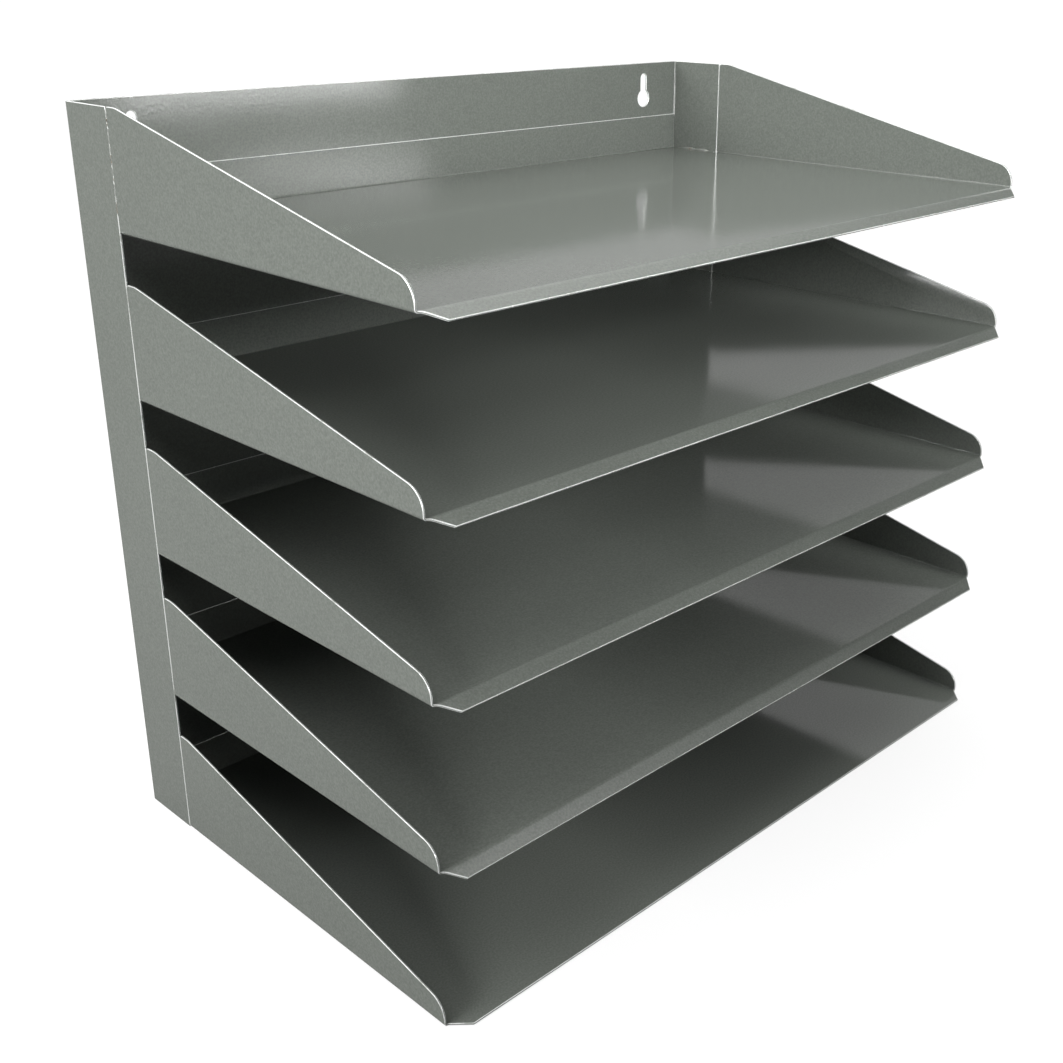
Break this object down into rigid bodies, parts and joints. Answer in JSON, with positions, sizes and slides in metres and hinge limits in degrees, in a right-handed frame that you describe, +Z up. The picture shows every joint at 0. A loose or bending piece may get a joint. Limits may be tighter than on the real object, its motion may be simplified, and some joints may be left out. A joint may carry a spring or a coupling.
{
  "type": "desktop file sorter",
  "caption": "Welded sheet steel desktop file sorter: a folded back panel with side flanges carries level stacked trays with sloping wings and a folded front lip; keyholes let it hang.",
  "frame": {"origin": "middle of the footprint's bounding box, on the surface that the sorter stands on", "axes": "+X across the trays to the user's right, +Y towards the back panel, +Z up; paper goes in along +Y"},
  "size_m": [0.3818, 0.234, 0.3368],
  "materials": {
    "grey_enamel": "semi-gloss baked enamel with fine orange peel"
  },
  "bodies": {
    "root": {"back_panel": "grey_enamel", "top_tray": "grey_enamel", "second_tray": "grey_enamel", "third_tray": "grey_enamel", "fourth_tray": "grey_enamel", "bottom_tray": "grey_enamel", "left_seam_welds": "grey_enamel", "right_seam_welds": "grey_enamel", "left_floor_welds": "grey_enamel", "right_floor_welds": "grey_enamel", "left_seam_tacks": "grey_enamel", "right_seam_tacks": "grey_enamel"}
  },
  "joints": []
}
